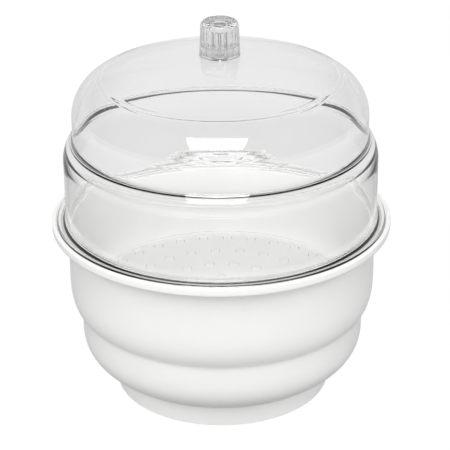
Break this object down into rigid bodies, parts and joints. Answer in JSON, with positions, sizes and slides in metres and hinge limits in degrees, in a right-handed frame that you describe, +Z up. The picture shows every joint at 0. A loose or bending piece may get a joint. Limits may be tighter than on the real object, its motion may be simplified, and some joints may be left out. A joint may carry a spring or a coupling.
{
  "type": "laboratory desiccator",
  "caption": "Bench desiccator: white stepped bowl with a sealed rim, clear two-tier dome cover with a screwed fluted knob, and a clear perforated plate inside",
  "frame": {"origin": "on the vertical axis, at the bench face of the foot ring", "axes": "+Z up along the axis of revolution; the object is round, so X and Y are free"},
  "size_m": [0.25, 0.25, 0.2841],
  "materials": {
    "bowl_white": "satin moulded polypropylene, opaque white",
    "silicone": "translucent white silicone rubber",
    "plate_clear": "clear moulded plastic",
    "cover_clear": "polished clear plastic, such as polycarbonate",
    "knob_clear": "polished clear plastic"
  },
  "bodies": {
    "base": {"base_bowl": "bowl_white", "rim_seal": "silicone"},
    "plate": {"perforated_plate": "plate_clear"},
    "cover": {"cover_dome": "cover_clear", "knob_gasket": "silicone"},
    "stud": {"knob_stud": "knob_clear"},
    "knob": {"lid_knob": "knob_clear"}
  },
  "joints": [
    {"name": "cover_lift", "type": "slide", "parent": "base", "child": "cover", "axis": [0, 0, 1], "range_m": [0, 0.16]},
    {"name": "plate_lift", "type": "slide", "parent": "base", "child": "plate", "axis": [0, 0, 1], "range_m": [0, 0.064]},
    {"name": "stud_rise", "type": "slide", "parent": "cover", "child": "stud", "axis": [0, 0, 1], "range_m": [0, 0.0031]},
    {"name": "knob_turn", "type": "hinge", "parent": "stud", "child": "knob", "pos_m": [0, 0, 0.2605], "axis": [0, 0, 1], "range_deg": [0, 720]}
  ],
  "couplings": [
    {"joint": "stud_rise", "follows": "knob_turn", "m_per_rad": 0.00023873}
  ]
}
